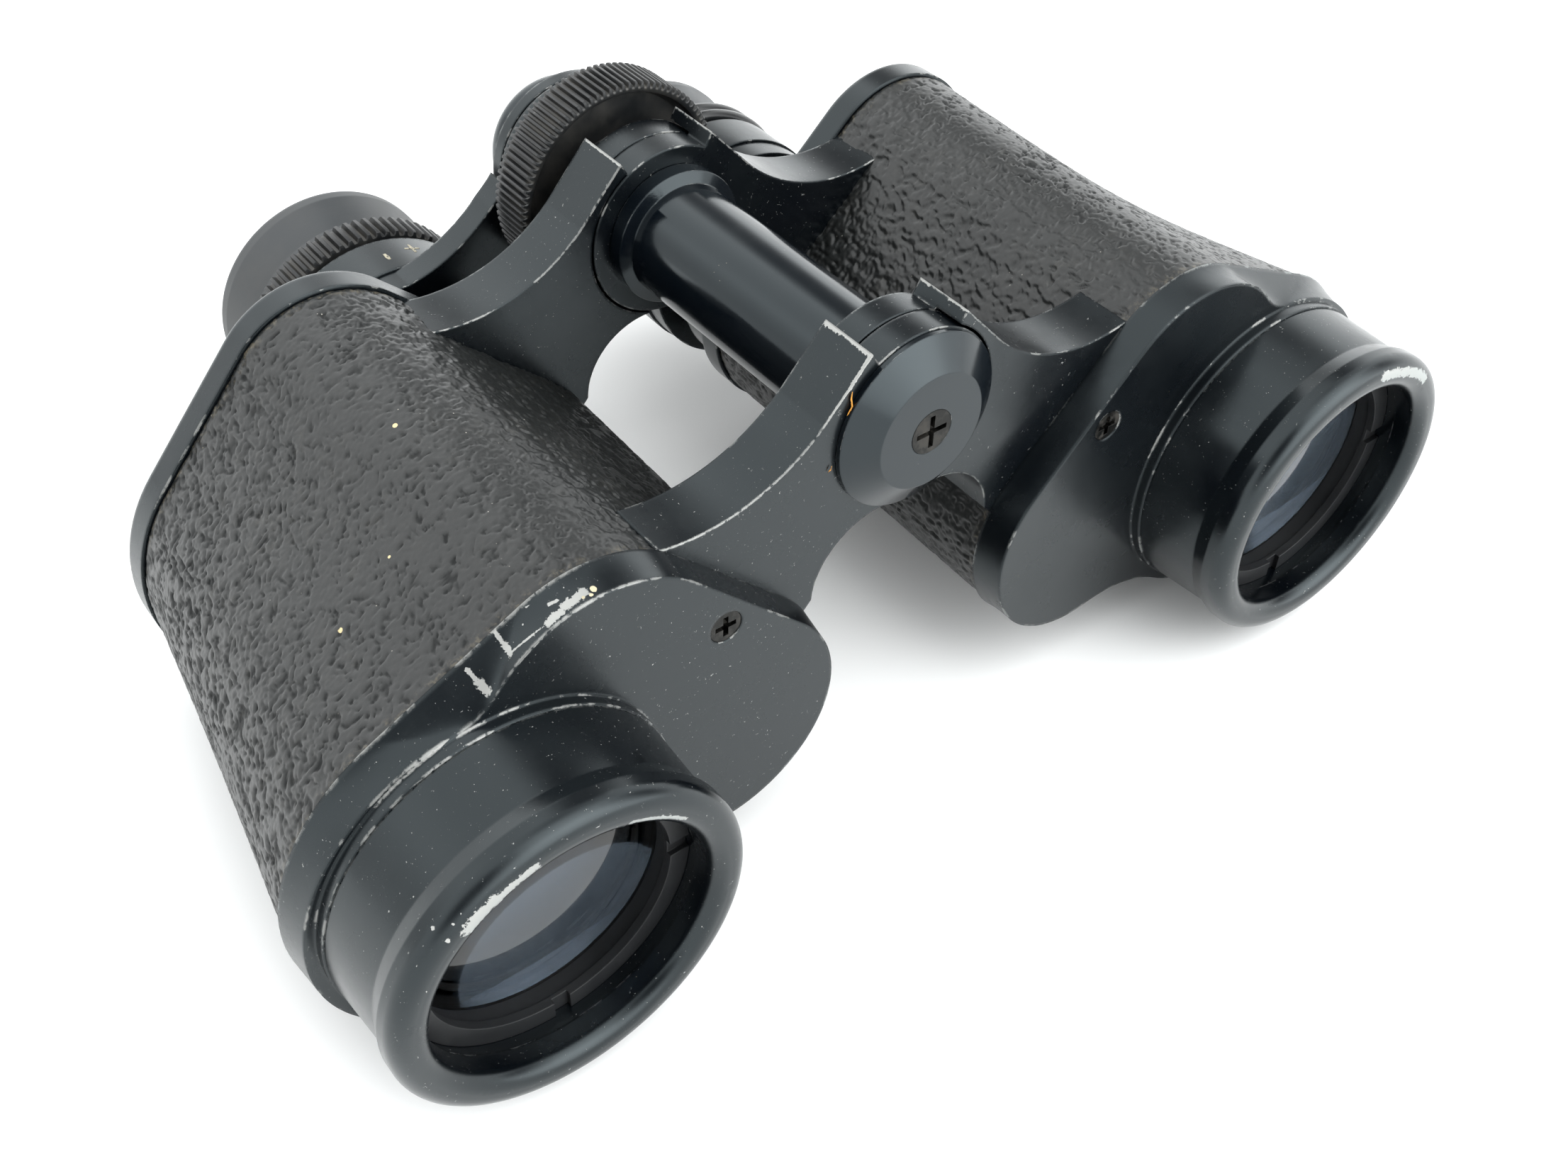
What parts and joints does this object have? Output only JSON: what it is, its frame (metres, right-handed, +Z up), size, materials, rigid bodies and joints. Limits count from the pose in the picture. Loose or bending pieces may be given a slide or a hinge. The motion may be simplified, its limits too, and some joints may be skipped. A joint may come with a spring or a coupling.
{
  "type": "binoculars",
  "caption": "Folding prism binoculars with two leatherette-covered barrels on a central axle, a knurled focus wheel, sliding eyepieces and a dioptre ring.",
  "frame": {"origin": "on the table under the middle of the hinge axis, halfway from the objective lips to the eyecup rims", "axes": "+X towards the user's left barrel, +Y from the objectives towards the eyepieces, +Z up from the table"},
  "size_m": [0.1668, 0.1176, 0.0681],
  "materials": {
    "black_enamel": "semi-gloss black enamel on light-alloy castings, edges worn bright",
    "gloss_enamel": "glossy black enamel",
    "leatherette": "pebbled black leatherette",
    "moulded_black": "smooth black moulding",
    "knurled_black": "knurled, black anodised",
    "inner_black": "matt black anodised",
    "coated_glass": "blue-violet coated glass",
    "prism_glass": "clear glass",
    "dark_steel": "blackened steel",
    "spring_brass": "sprung sheet"
  },
  "bodies": {
    "right_barrel": {"right_prism_housing": "black_enamel", "right_leatherette": "leatherette", "right_front_cover": "black_enamel", "right_rear_cover": "black_enamel", "right_front_cover_screw": "dark_steel", "right_rear_cover_screws": "dark_steel", "right_objective_tube": "black_enamel", "right_objective_cell": "inner_black", "right_objective_keeper_ring": "inner_black", "right_objective_crown": "coated_glass", "right_objective_flint": "coated_glass", "right_prism_front": "prism_glass", "right_prism_rear": "prism_glass", "right_prism_shelf": "inner_black", "right_prism_clips": "spring_brass", "axle_tube": "gloss_enamel", "axle_front_cap": "gloss_enamel", "axle_cap_screw": "dark_steel", "axle_front_plug": "dark_steel", "axle_rear_washer": "dark_steel"},
    "left_barrel": {"left_prism_housing": "black_enamel", "left_leatherette": "leatherette", "left_front_cover": "black_enamel", "left_rear_cover": "black_enamel", "left_front_cover_screw": "dark_steel", "left_rear_cover_screws": "dark_steel", "left_objective_tube": "black_enamel", "left_objective_cell": "inner_black", "left_objective_keeper_ring": "inner_black", "left_objective_crown": "coated_glass", "left_objective_flint": "coated_glass", "left_prism_front": "prism_glass", "left_prism_rear": "prism_glass", "left_prism_shelf": "inner_black", "left_prism_clips": "spring_brass"},
    "focus_wheel": {"focus_wheel": "knurled_black"},
    "right_eyepiece": {"right_eyepiece_barrel": "inner_black", "right_field_lens": "coated_glass", "right_bridge_arm": "black_enamel", "right_scale_ring": "black_enamel", "focus_spindle": "dark_steel", "bridge_dome_nut": "black_enamel"},
    "left_eyepiece": {"left_eyepiece_barrel": "inner_black", "left_field_lens": "coated_glass", "left_bridge_arm": "black_enamel", "left_scale_ring": "black_enamel", "left_eyepiece_ring": "moulded_black", "left_eyecup": "moulded_black", "left_eye_lens_cell": "inner_black", "left_eye_lens": "coated_glass"},
    "dioptre_cell": {"right_eye_lens_cell": "inner_black", "right_eye_lens": "coated_glass"},
    "dioptre_grip": {"right_dioptre_ring": "knurled_black", "right_eyecup": "moulded_black"}
  },
  "joints": [
    {"name": "barrel_fold", "type": "hinge", "parent": "right_barrel", "child": "left_barrel", "pos_m": [0, 0, 0.0528], "axis": [0, -1, 0], "range_deg": [-2, 47]},
    {"name": "focus_turn", "type": "hinge", "parent": "right_barrel", "child": "focus_wheel", "pos_m": [0, 0, 0.0528], "axis": [0, 1, 0], "range_deg": [-170, 290]},
    {"name": "right_focus_slide", "type": "slide", "parent": "right_barrel", "child": "right_eyepiece", "axis": [0, 1, 0], "range_m": [-0.0019, 0.0034]},
    {"name": "left_focus_slide", "type": "slide", "parent": "left_barrel", "child": "left_eyepiece", "axis": [0, 1, 0], "range_m": [-0.0019, 0.0034]},
    {"name": "dioptre_slide", "type": "slide", "parent": "right_eyepiece", "child": "dioptre_cell", "axis": [0, 1, 0], "range_m": [-0.00092, 0.00092]},
    {"name": "dioptre_turn", "type": "hinge", "parent": "dioptre_cell", "child": "dioptre_grip", "pos_m": [-0.0282, 0, 0.0273], "axis": [0, 1, 0], "range_deg": [-75, 75]}
  ],
  "couplings": [
    {"joint": "focus_turn", "follows": "right_focus_slide", "rad_per_m": 1428.6},
    {"joint": "left_focus_slide", "follows": "right_focus_slide", "ratio": 1},
    {"joint": "dioptre_slide", "follows": "dioptre_turn", "m_per_rad": 0.00068755}
  ]
}
